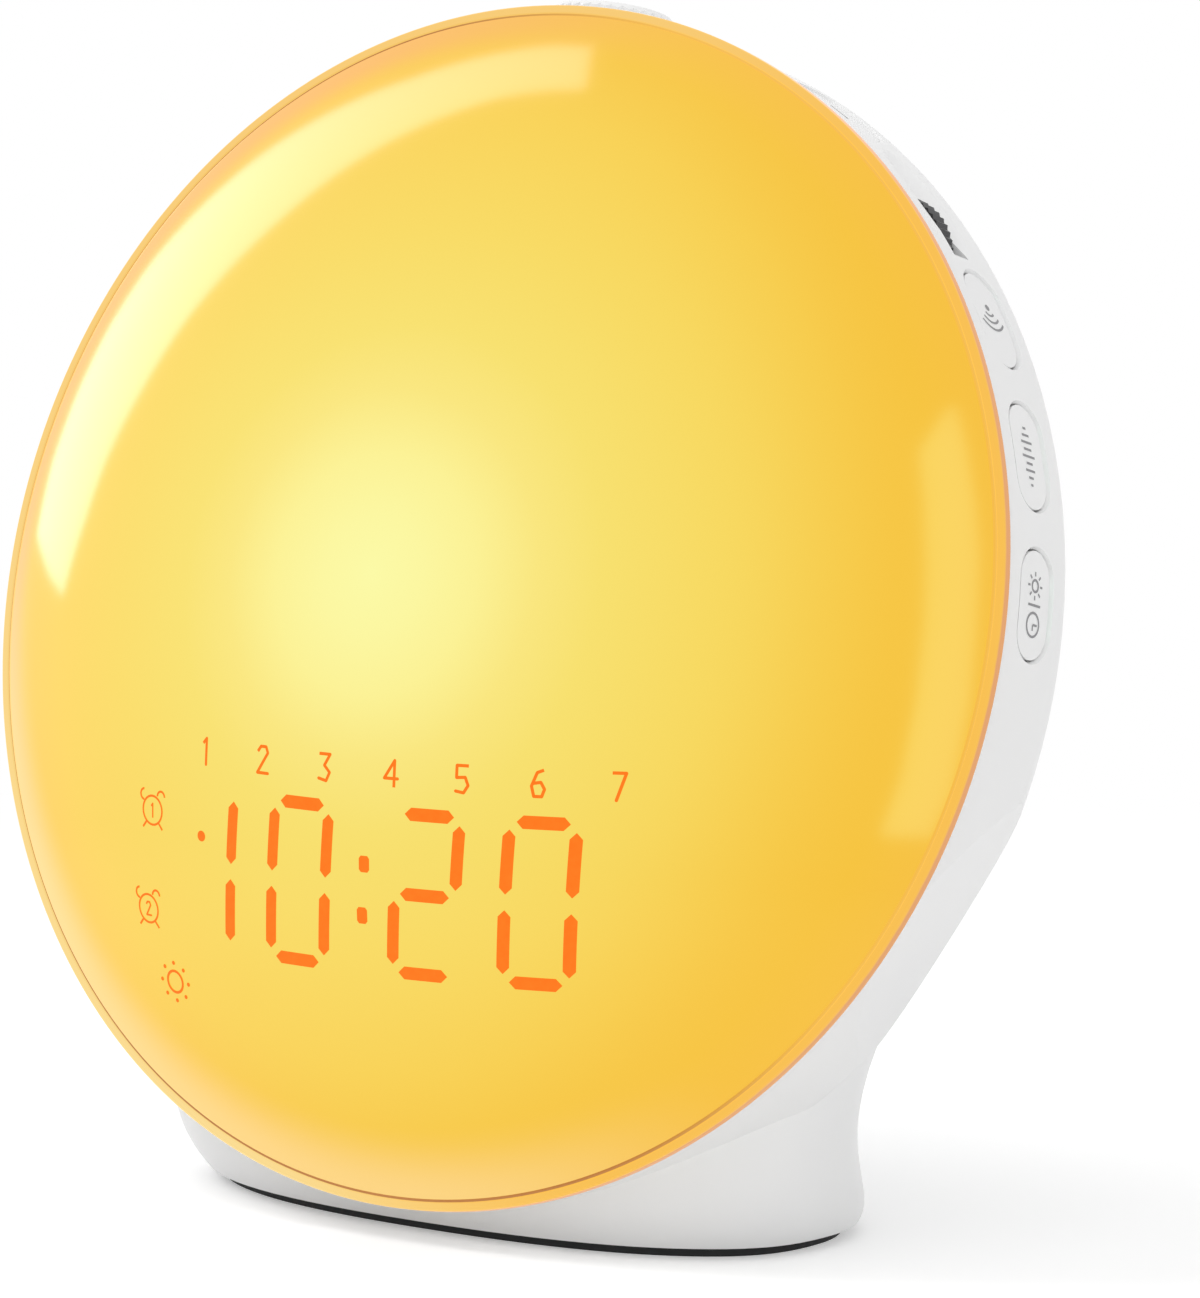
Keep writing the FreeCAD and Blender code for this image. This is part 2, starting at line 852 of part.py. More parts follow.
def make_speaker_basket():
    top = speaker_face()
    back = top - speaker_depth
    outline = chain((
        (magnet_radius - 2, back),
        (magnet_radius, back),
        (speaker_radius - 3, top - speaker_rim),
        (speaker_radius, top - speaker_rim),
        (speaker_radius, top),
        (speaker_radius - 3.5, top),
        (magnet_radius - 1, back + 1.2),
        (magnet_radius - 2, back + 1.2),
        (magnet_radius - 2, back),
    ))
    return turned(outline)


def make_speaker_cone():
    top = speaker_face() - speaker_rim / 2
    back = speaker_face() - speaker_depth + 2.0
    slope = (speaker_radius - magnet_radius - 2.5) / (speaker_depth - 1.2)
    rim = speaker_radius - 3.5 - slope * speaker_rim / 2
    outline = chain((
        (0, back),
        (5, back),
        (rim, top),
        (rim - cone_wall, top),
        (5 - cone_wall, back + cone_wall),
        (0, back + cone_wall),
        (0, back),
    ))
    return turned(outline)


def make_speaker_magnet():
    back = speaker_face() - speaker_depth
    return drum(magnet_radius, back - magnet_height, back)


# Foot

def foot_slice(inset, low, high):
    """Flat slab that follows the foot's outline."""
    face = Part.Face(oval(foot_half_width - inset, foot_half_depth - inset, 0, low))
    return face.extrude(Vector(0, 0, high - low))


def make_foot_pad():
    return foot_slice(pad_inset, 0, pad_height).cut(base_screw_holes(screw_head_radius + 0.4))


def base_screw_holes(radius):
    holes = []
    for side in (-1, 1):
        place = Vector(side * base_boss_place, rim_setback / 4, -1)
        holes.append(Part.makeCylinder(radius, 30, place))
    return holes


def make_base_plate():
    low = pad_height
    plate = foot_slice(wall + plate_gap, low, foot_lift + plate_wall)
    return plate.cut(base_screw_holes(screw_radius + 0.2))


def make_base_screws():
    screws = []
    for side in (-1, 1):
        place = Vector(side * base_boss_place, rim_setback / 4, pad_height)
        shank = Part.makeCylinder(screw_radius, plate_wall + 6, place)
        head = Part.makeCylinder(screw_head_radius, screw_head_height, place, Vector(0, 0, -1))
        screws.append(shank.fuse(head).removeSplitter())
    return Part.makeCompound(screws)


def make_ballast_plate():
    low = foot_lift + plate_wall
    plate = Part.makeBox(ballast_length, ballast_width, ballast_height,
                         Vector(-ballast_length / 2, rim_setback / 4 - ballast_width / 2, low))
    upright = [edge for edge in plate.Edges if abs(edge.tangentAt(0).z) > 0.9]
    return plate.makeFillet(4.0, upright)


# Power socket

def socket_back():
    """Y of the neck's rear wall at the socket's height."""
    level = socket_height - foot_lift
    lower = [row for row in neck_levels if row[0] <= level][-1]
    upper = [row for row in neck_levels if row[0] > level][0]
    share = (level - lower[0]) / (upper[0] - lower[0])
    deeper = lower[2] + share * (upper[2] - lower[2])
    centre = lower[3] + share * (upper[3] - lower[3])
    return foot_half_depth + deeper + centre


def socket_nose(gap):
    start = socket_back() - wall - 3
    return Part.makeCylinder(socket_nose_radius + gap, wall + 5, Vector(0, start, socket_height),
                             Vector(0, 1, 0))


def make_power_socket():
    face = socket_back() - wall - 0.3
    case_back = face - socket_setback
    nose = Part.makeCylinder(socket_nose_radius, wall + 2.1 + socket_setback,
                             Vector(0, case_back - 2, socket_height), Vector(0, 1, 0))
    low = socket_height - socket_tall / 2
    case = Part.makeBox(socket_width, socket_length, socket_tall,
                        Vector(-socket_width / 2, case_back - socket_length, low))
    mouth = face + wall + 0.1
    bore = Part.makeCylinder(socket_bore_radius, socket_bore_depth,
                             Vector(0, mouth - socket_bore_depth, socket_height), Vector(0, 1, 0))
    pin = Part.makeCylinder(socket_pin_radius, socket_bore_depth,
                            Vector(0, mouth - socket_bore_depth - 0.5, socket_height), Vector(0, 1, 0))
    return joined([case, nose]).cut(bore).fuse(pin).removeSplitter()


# Writing

def write(name, shape):
    shape.exportStep(os.path.join("parts", name + ".step"))


def main():
    os.makedirs("parts", exist_ok=True)
    head = {
        "front_diffuser": make_front_diffuser(),
        "rear_cover": make_rear_cover(),
        "rear_cover_screws": make_rear_cover_screws(),
        "key_switches": make_switches(),
        "volume_wheel": make_volume_wheel(),
        "wheel_shaft": make_wheel_shaft(),
        "wheel_encoder": make_wheel_encoder(),
        "top_knob": make_top_knob(),
        "knob_shaft": make_knob_shaft(),
        "knob_encoder": make_knob_encoder(),
        "reflector": make_reflector(),
        "light_board": make_light_board(),
        "lamps": make_lamps(),
        "display_mask": make_display_mask(),
        "display_board": make_display_board(),
        "display_lamps": make_display_lamps(),
        "display_ribbon": make_display_ribbon(),
        "main_board": make_main_board(),
        "board_spacers": make_board_spacers(),
        "board_screws": make_board_screws(),
        "main_chips": make_main_chips(),
        "cell_holder": make_cell_holder(),
        "coin_cell": make_coin_cell(),
        "speaker_basket": make_speaker_basket(),
        "speaker_cone": make_speaker_cone(),
        "speaker_magnet": make_speaker_magnet(),
    }
    for number, angle in enumerate(right_key_angles, 1):
        head["right_key_%d" % number] = around(make_key(), angle)
    for number, angle in enumerate(left_key_angles, 1):
        head["left_key_%d" % number] = around(make_key(), angle)
    for name, shape in head.items():
        write(name, in_head(shape))
    write("housing", make_housing())
    write("foot_pad", make_foot_pad())
    write("base_plate", make_base_plate())
    write("base_screws", make_base_screws())
    write("ballast_plate", make_ballast_plate())
    write("power_socket", make_power_socket())


main()
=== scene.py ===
import json
import math

import bmesh
import bpy
from mathutils import Matrix, Vector


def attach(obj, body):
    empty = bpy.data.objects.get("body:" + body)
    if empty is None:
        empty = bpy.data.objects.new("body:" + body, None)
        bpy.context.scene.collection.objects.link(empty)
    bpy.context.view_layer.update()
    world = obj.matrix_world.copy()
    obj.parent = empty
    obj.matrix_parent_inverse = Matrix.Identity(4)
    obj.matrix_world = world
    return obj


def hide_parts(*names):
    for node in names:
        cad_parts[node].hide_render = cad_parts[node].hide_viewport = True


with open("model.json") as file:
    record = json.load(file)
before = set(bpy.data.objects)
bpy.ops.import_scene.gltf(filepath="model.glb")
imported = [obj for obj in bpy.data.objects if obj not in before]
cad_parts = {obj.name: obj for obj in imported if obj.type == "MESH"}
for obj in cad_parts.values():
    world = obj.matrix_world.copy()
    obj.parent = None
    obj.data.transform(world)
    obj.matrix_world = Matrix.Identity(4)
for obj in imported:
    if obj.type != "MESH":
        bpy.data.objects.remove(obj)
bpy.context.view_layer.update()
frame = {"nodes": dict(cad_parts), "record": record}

# Sizes of the head, in metres. Its own frame has its origin at the centre of the dome's flange:
# u to the right, w straight back and v up along the leaning flange.
lean = math.radians(14.0)
rim_height = 0.0875
rim_setback = -0.0129
disc_radius = 0.085
flange_width = 0.0014
flange_thickness = 0.0016
dome_height = 0.024
dome_base = disc_radius - flange_width
dome_curvature = (dome_base ** 2 + dome_height ** 2) / (2 * dome_height)
dome_centre = dome_curvature - dome_height
dome_wall = 0.002
dome_rings = 64
seam_half_width = 0.0002
seam_profile = ((-0.0001, 0.00018), (0.00015, 0.00022), (0.0003, 0.0))
flange_edge = 0.00035
flange_edge_steps = 4
skirt_gap = 0.0002
skirt_wall = 0.0016
skirt_length = 0.0014
wall_radius = 0.0844
wall_inner = 0.0820
key_set = 0.0003
key_depth = 0.0100
back_curvature = 0.1848
back_depth = 0.0402
cover_lift = 0.014
cover_screw_circle = 0.040
cover_screw_depth = 0.0012
screw_head_height = 0.0013
cross_length = 0.0026
cross_width = 0.0005
cross_sheet_thickness = 0.00006
right_key_angles = (16.9, 30.7, 58.3, 72.1, 85.9)
left_key_angles = (-30.7, -44.4, -58.3, -72.1)

# The picture, for which the camera is placed
photo_width = 1200
photo_height = 1298
camera_focal_pixels = 5376.16
camera_place = (0.4403, -0.6147, 0.1679)
camera_yaw = math.radians(34.82)
camera_pitch = math.radians(6.68)
sensor_size = 36.0

# Edges of the two bright reflections on the dome, in pixels of the picture
left_outer = (
    (49, 575), (37, 535), (53, 461), (78, 392), (110, 326), (151, 263), (204, 204), (261, 155),
    (335, 110), (408, 80), (482, 57), (547, 46), (592, 47),
)
left_inner = (
    (63, 596), (86, 518), (108, 456), (143, 388), (188, 318), (237, 261), (280, 220), (330, 179),
    (385, 144), (440, 118), (500, 98), (548, 91), (586, 90),
)
right_outer = (
    (955, 404), (966, 446), (975, 504), (979, 558), (976, 625), (970, 700), (952, 790), (925, 850),
)
right_inner = (
    (945, 412), (919, 451), (924, 504), (926, 571), (924, 625), (916, 700), (900, 780), (880, 835),
)

# Room: its light, its shine on the dome, and the floor, which lifts and fades to white
room_light = 0.52
room_shine = 0.04
floor_size = 6.0
floor_lift = 0.3
floor_fade = (0.14, 0.42)

# Share of the dome's own glow that it casts round itself, and the colour of the rest
spill_share = 0.15
spill_colour = (0.07, 0.06, 0.05, 1.0)

# Digits and marks on the dome
digit_centres = (-0.02715, -0.0095, 0.01195, 0.02915)
colon_centre = 0.0019
digit_line = -0.0368
digit_half_height = 0.01152
digit_half_width = 0.00484
digit_slant = 0.07
bar_width = 0.0019
digit_bars = {
    "0": "abcdef",
    "1": "bc",
    "2": "abged",
}
shown_time = "1020"
colon_rise = 0.00375
colon_dot = (
    (-0.00087, -0.0008), (-0.00055, -0.0012), (0.00055, -0.0012), (0.00087, -0.0008),
    (0.00087, 0.0008), (0.00055, 0.0012), (-0.00055, 0.0012), (-0.00087, 0.0008),
)
day_row_start = -0.0275
day_pitch = 0.0113
day_row_rise = 0.0170
day_half_height = 0.0019
day_stroke = 0.00046
first_alarm_place = (-0.0389, digit_line + 0.0069)
second_alarm_place = (-0.0405, digit_line - 0.0081)
sun_place = (-0.0357, digit_line - 0.0186)
half_day_dot_place = (-0.0282, digit_line + 0.0045)
half_day_dot_radius = 0.0008
print_direction = math.radians(18.0)
print_lift = 0.00004

# Marks on the keys
mark_stroke = 0.00034
fine_stroke = 0.0003
sound_heights = (0.0008, 0.0018, 0.0028, 0.0020, 0.0032, 0.0016, 0.0024, 0.0012, 0.0006)

# Lamps: name, azimuth and elevation in degrees, distance, side and power
lamps = (
    ("key_softbox", -60, 50, 1.3, 0.8, 7.0),
    ("top_softbox", 40, 70, 1.5, 0.9, 4.0),
    ("side_softbox", 75, 15, 1.5, 0.8, 3.8),
)


# Frames

def head(u, w, v):
    """Place in the part's frame of a point given in the head's frame."""
    return Vector((
        u,
        w * math.cos(lean) + v * math.sin(lean) + rim_setback,
        -w * math.sin(lean) + v * math.cos(lean) + rim_height,
    ))


def head_matrix(angle=0.0):
    """Head frame turned clockwise from the front, as a matrix on (x, depth, up) points."""
    lean_back = Matrix.Rotation(-lean, 4, "X")
    place = Matrix.Translation((0, rim_setback, rim_height))
    return place @ lean_back @ Matrix.Rotation(math.radians(angle), 4, "Y")


# Shader maths

class Value:
    """A shader socket that adds, subtracts, multiplies and divides like a number."""

    def __init__(self, material, socket):
        self.material = material
        self.socket = socket

    def combined(self, operation, *others, **settings):
        values = dict(enumerate((self,) + others))
        node = self.material.node("ShaderNodeMath", values, operation=operation, **settings)
        return Value(self.material, node.outputs[0])

    def __add__(self, other):
        return self.combined("ADD", other)

    def __radd__(self, other):
        return self + other

    def __sub__(self, other):
        return self.combined("SUBTRACT", other)

    def __rsub__(self, other):
        return self * -1.0 + other

    def __mul__(self, other):
        return self.combined("MULTIPLY", other)

    def __rmul__(self, other):
        return self * other

    def __truediv__(self, other):
        return self.combined("DIVIDE", other)

    def root(self):
        return self.combined("SQRT")

    def clamped(self):
        return self.combined("ADD", 0.0, use_clamp=True)

    def smooth(self, low, high, start=0.0, end=1.0):
        values = {"Value": self, "From Min": low, "From Max": high, "To Min": start, "To Max": end}
        node = self.material.node("ShaderNodeMapRange", values, interpolation_type="SMOOTHSTEP")
        return Value(self.material, node.outputs["Result"])


class Finish:
    """One procedural material, built node by node."""

    def __init__(self, name):
        self.material = bpy.data.materials.new(name)
        self.material.use_nodes = True
        self.tree = self.material.node_tree
        self.shader = self.tree.nodes["Principled BSDF"]
        self.places = None

    def node(self, kind, inputs=None, **settings):
        made = self.tree.nodes.new(kind)
        for name, value in settings.items():
            setattr(made, name, value)
        for name, value in (inputs or {}).items():
            self.feed(made.inputs[name], value)
        return made

    def feed(self, socket, value):
        if isinstance(value, Value):
            self.tree.links.new(value.socket, socket)
        elif isinstance(value, bpy.types.NodeSocket):
            self.tree.links.new(value, socket)
        else:
            socket.default_value = value

    def set(self, **values):
        for name, value in values.items():
            self.feed(self.shader.inputs[name.replace("_", " ")], value)

    def position(self):
        if self.places is None:
            self.places = self.node("ShaderNodeTexCoord").outputs["Object"]
        return self.places

    def axes(self):
        split = self.node("ShaderNodeSeparateXYZ", {"Vector": self.position()})
        return [Value(self, split.outputs[index]) for index in range(3)]

    def noise(self, scale, detail=2.0, roughness=0.5, stretch=None):
        where = self.position()
        if stretch:
            where = self.node("ShaderNodeMapping", {"Vector": where, "Scale": stretch}).outputs[0]
        values = {"Vector": where, "Scale": scale, "Detail": detail, "Roughness": roughness}
        return Value(self, self.node("ShaderNodeTexNoise", values).outputs[0])

    def mix(self, factor, first, second):
        made = self.node("ShaderNodeMix", {0: factor, 6: first, 7: second}, data_type="RGBA")
        return made.outputs[2]

    def ramp(self, factor, stops):
        made = self.node("ShaderNodeValToRGB", {"Fac": factor})
        points = made.color_ramp.elements
        while len(points) < len(stops):
            points.new(0.5)
        for point, (place, colour) in zip(points, stops):
            point.position = place
            point.color = colour
        return made.outputs[0]

    def bump(self, height, distance, strength=1.0):
        values = {"Height": height, "Distance": distance, "Strength": strength}
        self.feed(self.shader.inputs["Normal"], self.node("ShaderNodeBump", values).outputs[0])

    def surface(self, shader):
        """Make another shader node the surface of the material."""
        self.feed(self.tree.nodes["Material Output"].inputs["Surface"], shader.outputs[0])


def linear(red, green, blue):
    """Scene colour of a colour seen on screen, each channel from 0 to 255."""
    values = []
    for channel in (red, green, blue):
        share = channel / 255
        values.append(share / 12.92 if share <= 0.04045 else ((share + 0.055) / 1.055) ** 2.4)
    return (*values, 1.0)


# Finishes

def head_axes(finish):
    """u, w and v of the shaded point, as values."""
    x, y, z = finish.axes()
    along = y - rim_setback
    up = z - rim_height
    w = along * math.cos(lean) - up * math.sin(lean)
    v = along * math.sin(lean) + up * math.cos(lean)
    return x, w, v


# Glow of the dome as seen on screen, from its centre at 0 to its rim at 1
glow_colours = (
    (0.00, (251, 249, 166)),
    (0.10, (251, 246, 160)),
    (0.20, (251, 241, 149)),
    (0.31, (249, 230, 127)),
    (0.42, (247, 224, 111)),
    (0.60, (247, 217, 98)),
    (0.80, (247, 209, 84)),
    (0.92, (246, 200, 72)),
    (1.00, (247, 194, 78)),
)


def seen(red, green, blue):
    """Light to send out so that, with the room's shine on it, a place looks the given colour."""
    return (*(max(value - room_shine, 0.0) for value in linear(red, green, blue)[:3]), 1.0)


def spill_held(finish, glow):
    """The same glow to the eye, with less of it cast on the housing and the table."""
    diffuse = Value(finish, finish.node("ShaderNodeLightPath").outputs["Is Diffuse Ray"])
    return finish.mix(diffuse * (1.0 - spill_share), glow, spill_colour)


def lit_dome():
    """Milky dome, lit from behind: pale in the middle, golden at the rim, deepest at the right."""
    finish = Finish("lit_dome")
    u, _, v = head_axes(finish)
    radius = (u * u + v * v).root() / dome_base
    mottle = finish.noise(60.0, 3.0) - 0.5
    stops = [(place, seen(*colour)) for place, colour in glow_colours]
    glow = finish.ramp((radius + mottle * 0.015).clamped(), stops)
    across = u / dome_base
    up = v / dome_base
    right = (across * 0.95 - up * 0.1).smooth(0.0, 0.8)
    right_band = radius.smooth(0.6, 0.92) * 0.6
    glow = finish.mix(right * right_band, glow, seen(246, 193, 60))
    left = (across * -0.8 + up * 0.5).smooth(0.2, 0.8)
    left_rim = radius.smooth(0.925, 0.985)
    glow = finish.mix(left * left_rim, glow, seen(246, 184, 96))
    low = (across * -0.5 - up * 0.87).smooth(0.3, 0.85)
    low_rim = radius.smooth(0.88, 0.99) * 0.8
    glow = finish.mix(low * low_rim, glow, seen(252, 215, 138))
    finish.set(Base_Color=linear(14, 9, 3), Roughness=mottle * 0.02 + 0.09)
    finish.set(Emission_Color=spill_held(finish, glow), Emission_Strength=1.0)
    finish.bump(finish.noise(9000.0, 2.0), 0.000004, 0.2)
    return finish.material


def lit_flange():
    """Edge of the dome: peachy light that leaks into the flange, deeper round on its side."""
    finish = Finish("lit_flange")
    u, w, v = head_axes(finish)
    grain = finish.noise(400.0, 2.0)
    right = (u / dome_base * 0.95 - v / dome_base * 0.2).smooth(-0.1, 0.6)
    face = finish.mix(v.smooth(-0.08, 0.08), seen(250, 219, 145), seen(247, 203, 118))
    face = finish.mix(right, face, seen(248, 192, 84))
    edge = (w + grain * 0.0002).smooth(0.0002, 0.0008)
    glow = finish.mix(edge, face, seen(222, 158, 104))
    finish.set(Base_Color=finish.mix(grain, linear(26, 16, 8), linear(20, 12, 6)))
    finish.set(Roughness=0.2, Emission_Color=spill_held(finish, glow), Emission_Strength=1.0)
    return finish.material


def dome_seam():
    """Thin shaded line between the dome and its flange, which fades out on the right."""
    finish = Finish("dome_seam")
    u, _, v = head_axes(finish)
    grain = finish.noise(700.0, 2.0)
    right = (u / dome_base * 0.94 + v / dome_base * 0.34).smooth(0.05, 0.6)
    tint = finish.mix(grain, linear(176, 112, 52), linear(190, 124, 60))
    tint = finish.mix(right * 0.9, tint, linear(246, 190, 72))
    finish.set(Base_Color=linear(20, 12, 6), Roughness=0.5)
    finish.set(Emission_Color=tint, Emission_Strength=1.0)
    return finish.material


def lit_print():
    """Orange light of the digits and marks, in two oranges mixed by a fine grain."""
    finish = Finish("lit_print")
    grain = finish.noise(900.0, 2.0)
    tint = finish.mix(grain, linear(255, 116, 20), linear(255, 128, 30))
    finish.set(Base_Color=linear(40, 14, 4), Roughness=0.6, Specular_IOR_Level=0.1)
    finish.set(Emission_Color=tint, Emission_Strength=1.0)
    return finish.material


def white_shell(name="white_shell"):
    """Satin white moulding with a fine moulded grain and slight clouding."""
    finish = Finish(name)
    cloud = finish.noise(35.0, 4.0)
    fine = finish.noise(2600.0, 3.0, 0.6)
    tint = finish.mix(cloud, linear(240, 240, 241), linear(246, 246, 245))
    finish.set(Base_Color=tint, Roughness=fine * 0.08 + 0.27)
    finish.set(Coat_Weight=0.15, Coat_Roughness=0.12)
    finish.bump(fine, 0.000004, 0.08)
    return finish.material


def speckled_plastic(name, dark, pale, rough, grain=3200.0):
    """Moulded plastic or rubber with a fine grain."""
    finish = Finish(name)
    fine = finish.noise(grain, 3.0, 0.6)
    broad = finish.noise(90.0, 3.0)
    tint = finish.mix(fine * 0.5 + broad * 0.5, linear(*dark), linear(*pale))
    finish.set(Base_Color=tint, Roughness=fine * 0.15 + rough)
    finish.bump(fine, 0.00002, 0.5)
    return finish.material


def drawn_steel():
    """Bright steel with fine streaks."""
    finish = Finish("drawn_steel")
    streak = finish.noise(1500.0, 3.0, 0.6, (1.0, 0.05, 1.0))
    tint = finish.mix(streak, linear(150, 150, 152), linear(196, 196, 198))
    finish.set(Base_Color=tint, Metallic=1.0, Roughness=streak * 0.2 + 0.25)
    finish.bump(streak, 0.00001, 0.4)
    return finish.material


def board_green():
    """Green board with a faint weave."""
    finish = Finish("board_green")
    weave = finish.noise(800.0, 2.0)
    tint = finish.mix(weave, linear(16, 84, 42), linear(30, 110, 58))
    finish.set(Base_Color=tint, Roughness=weave * 0.1 + 0.35)
    finish.bump(weave, 0.00002, 0.3)
    return finish.material


def grey_print():
    """Printed grey ink of the marks on the keys."""
    finish = Finish("grey_print")
    fine = finish.noise(4000.0, 2.0)
    tint = finish.mix(fine, linear(128, 128, 130), linear(158, 158, 160))
    finish.set(Base_Color=tint, Roughness=0.5)
    return finish.material


# Mesh making

def new_piece(name, vertices, faces, material, body, smooth_angle):
    """Piece of one body, with its faces turned outwards and its gentle edges smooth."""
    mesh = bpy.data.meshes.new(name)
    mesh.from_pydata([tuple(vertex) for vertex in vertices], [], faces)
    mesh.materials.append(material)
    mesh.validate()
    work = bmesh.new()
    work.from_mesh(mesh)
    bmesh.ops.recalc_face_normals(work, faces=work.faces)
    work.to_mesh(mesh)
    work.free()
    for polygon in mesh.polygons:
        polygon.use_smooth = True
    mesh.set_sharp_from_angle(angle=math.radians(smooth_angle))
    piece = bpy.data.objects.new(name, mesh)
    bpy.context.scene.collection.objects.link(piece)
    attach(piece, body)
    return piece


def revolved(profile, steps=256):
    """Vertices and quads of a closed outline of (radius, depth) turned round the head's axis."""
    vertices = []
    faces = []
    rings = []
    for radius, depth in profile:
        if radius < 1e-6:
            rings.append([len(vertices)] * steps)
            vertices.append(head(0, depth, 0))
            continue
        ring = []
        for step in range(steps):
            angle = 2 * math.pi * step / steps
            ring.append(len(vertices))
            vertices.append(head(radius * math.sin(angle), depth, radius * math.cos(angle)))
        rings.append(ring)
    for index in range(len(rings)):
        first = rings[index]
        second = rings[(index + 1) % len(rings)]
        for step in range(steps):
            after = (step + 1) % steps
            corners = []
            for corner in (first[step], first[after], second[after], second[step]):
                if corner not in corners:
                    corners.append(corner)
            if len(corners) > 2:
                faces.append(corners)
    return vertices, faces


def dome_depth(radius, curvature):
    """Depth of a sphere about the dome's centre, at a radius from the head's axis."""
    return dome_centre - math.sqrt(curvature ** 2 - radius ** 2)


def make_dome():
    """The dome with its flange, softened edges and locating skirt."""
    inner = dome_curvature - dome_wall
    skirt_outer = wall_inner - skirt_gap
    skirt_inner = skirt_outer - skirt_wall
    skirt_end = flange_thickness + skirt_length
    outer_points = []
    for index in range(dome_rings + 1):
        radius = (dome_base - seam_half_width) * math.sin(math.pi / 2 * index / dome_rings)
        outer_points.append((radius, dome_depth(radius, dome_curvature)))
    seam = [(dome_base + offset, depth) for offset, depth in seam_profile]
    rim = []
    for index in range(flange_edge_steps + 1):
        angle = math.pi / 2 * index / flange_edge_steps
        radius = disc_radius - flange_edge + flange_edge * math.sin(angle)
        rim.append((radius, flange_edge - flange_edge * math.cos(angle)))
    back = [
        (disc_radius, flange_thickness),
        (skirt_outer, flange_thickness),
        (skirt_outer, skirt_end),
        (skirt_inner, skirt_end),
    ]
    inner_points = []
    for index in range(dome_rings + 1):
        radius = skirt_inner * math.cos(math.pi / 2 * index / dome_rings)
        if index == dome_rings:
            radius = 0.0
        inner_points.append((radius, dome_depth(radius, inner)))
    vertices, faces = revolved(outer_points + seam + rim + back + inner_points)
    piece = new_piece("front_diffuser_look", vertices, faces, lit_dome(), "case", 20.0)
    piece.data.materials.append(dome_seam())
    piece.data.materials.append(lit_flange())
    for polygon in piece.data.polygons:
        centre = polygon.center
        along = centre.y - rim_setback
        up = centre.z - rim_height
        depth = along * math.cos(lean) - up * math.sin(lean)
        radius = math.hypot(centre.x, along * math.sin(lean) + up * math.cos(lean))
        if radius > dome_base + seam_half_width and depth > -0.0001:
            polygon.material_index = 2
        elif radius > dome_base - seam_half_width and depth > -0.0004:
            polygon.material_index = 1
    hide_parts("front_diffuser")


def on_dome(u, v, lift):
    """Point where a place on the flange's plane is printed forward on to the dome."""
    slope_v = -math.sin(print_direction)
    slope_w = -math.cos(print_direction)
    reach = dome_curvature + lift
    half = v * slope_v - dome_centre * slope_w
    rest = u * u + v * v + dome_centre ** 2 - reach ** 2
    travel = -half + math.sqrt(half * half - rest)
    return head(u, travel * slope_w, v + travel * slope_v)


def printed(shapes):
    """Flat outlines in the flange's plane, cut up finely and laid on the dome."""
    work = bmesh.new()
    for outline in shapes:
        corners = [work.verts.new((u, v, 0)) for u, v in outline]
        work.faces.new(corners)
    bmesh.ops.triangulate(work, faces=work.faces)
    for _ in range(2):
        bmesh.ops.subdivide_edges(work, edges=work.edges, cuts=1, use_grid_fill=True)
    vertices = [on_dome(vert.co.x, vert.co.y, print_lift) for vert in work.verts]
    work.verts.index_update()
    faces = [[vert.index for vert in face.verts] for face in work.faces]
    work.free()
    return vertices, faces


def bar(centre_u, centre_v, length, upright, width=bar_width):
    """Outline of one six-sided bar of a digit."""
    half = length / 2
    wide = width / 2
    points = []
    for along, across in ((-half, 0), (wide - half, wide), (half - wide, wide), (half, 0),
                          (half - wide, -wide), (wide - half, -wide)):
        u, v = (across, along) if upright else (along, across)
        v += centre_v
        points.append((u + centre_u + digit_slant * v, v + digit_line))
    return points


def digit(character, centre):
    """Bars that are lit for one character."""
    half_height = digit_half_height
    half_width = digit_half_width
    across = 0.0078
    down = 0.00926
    middle = 0.00575
    places = {
        "a": (0, half_height, across, False),
        "b": (half_width, middle, down, True),
        "c": (half_width, -middle, down, True),
        "d": (0, -half_height, across, False),
        "e": (-half_width, -middle, down, True),
        "f": (-half_width, middle, down, True),
        "g": (0, 0, across, False),
    }
    outlines = []
    for name in digit_bars[character]:
        u, v, length, upright = places[name]
        outlines.append(bar(centre + u, v, length, upright))
    return outlines


def disc(centre_u, centre_v, radius, steps=24):
    """Outline of a round dot."""
    points = []
    for step in range(steps):
        angle = 2 * math.pi * step / steps
        points.append((centre_u + radius * math.cos(angle), centre_v + radius * math.sin(angle)))
    return points


def ring(centre_u, centre_v, radius, width, steps=28, start=0.0, sweep=360.0):
    """Outlines of short four-sided pieces that make a ring or an arc."""
    outlines = []
    for step in range(steps):
        first = math.radians(start + sweep * step / steps)
        second = math.radians(start + sweep * (step + 1) / steps)
        corners = []
        for angle, reach in ((first, radius - width / 2), (second, radius - width / 2),
                             (second, radius + width / 2), (first, radius + width / 2)):
            corners.append((centre_u + reach * math.cos(angle), centre_v + reach * math.sin(angle)))
        outlines.append(corners)
    return outlines


def stroke(start, end, width):
    """Outline of one straight stroke."""
    direction = Vector(end) - Vector(start)
    side = Vector((-direction.y, direction.x)).normalized() * width / 2
    first = Vector(start)
    second = Vector(end)
    return [tuple(first + side), tuple(first - side), tuple(second - side), tuple(second + side)]


